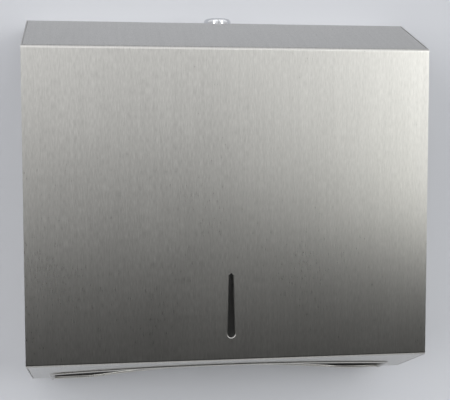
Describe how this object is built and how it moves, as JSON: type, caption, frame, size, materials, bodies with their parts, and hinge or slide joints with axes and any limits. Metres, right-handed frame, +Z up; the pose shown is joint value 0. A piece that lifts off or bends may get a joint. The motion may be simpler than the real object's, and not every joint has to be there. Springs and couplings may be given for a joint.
{
  "type": "folded towel dispenser",
  "caption": "Wall-hung folded towel dispenser: a brushed steel cover with sight slot and curled towel opening, hinged low on a back plate and shut by a cam lock.",
  "frame": {"origin": "centre of the four wall screw holes, in the wall plane against which the back plate lies", "axes": "+X to the right seen from the front, +Y into the wall, +Z up"},
  "size_m": [0.278, 0.1, 0.2632],
  "materials": {
    "brushed_steel": "upright brushed grain, satin",
    "plain_steel": "mill finish sheet",
    "lock_chrome": "polished chrome plate",
    "plated_steel": "zinc plated",
    "rivet_steel": "smooth",
    "nylon": "moulded natural nylon"
  },
  "bodies": {
    "wall_frame": {"back_plate": "plain_steel", "keeper": "plain_steel", "hinge_rivet_right": "rivet_steel", "hinge_rivet_left": "rivet_steel", "hinge_spacer_right": "nylon", "hinge_spacer_left": "nylon", "hinge_backing_right": "plated_steel", "hinge_backing_left": "plated_steel"},
    "cover": {"cover_shell": "brushed_steel", "lock_housing": "lock_chrome", "lock_washer": "plated_steel", "lock_nut": "plated_steel"},
    "lock_core": {"lock_plug": "lock_chrome", "stop_washer": "plated_steel", "lock_cam": "plated_steel", "spring_washer": "plated_steel", "cam_screw": "plated_steel"}
  },
  "joints": [
    {"name": "cover_hinge", "type": "hinge", "parent": "wall_frame", "child": "cover", "pos_m": [0, -0.0075, -0.1227], "axis": [1, 0, 0], "range_deg": [0, 90]},
    {"name": "lock_turn", "type": "hinge", "parent": "cover", "child": "lock_core", "pos_m": [0, -0.029, 0.1287], "axis": [0, 0, 1], "range_deg": [0, 90]}
  ]
}
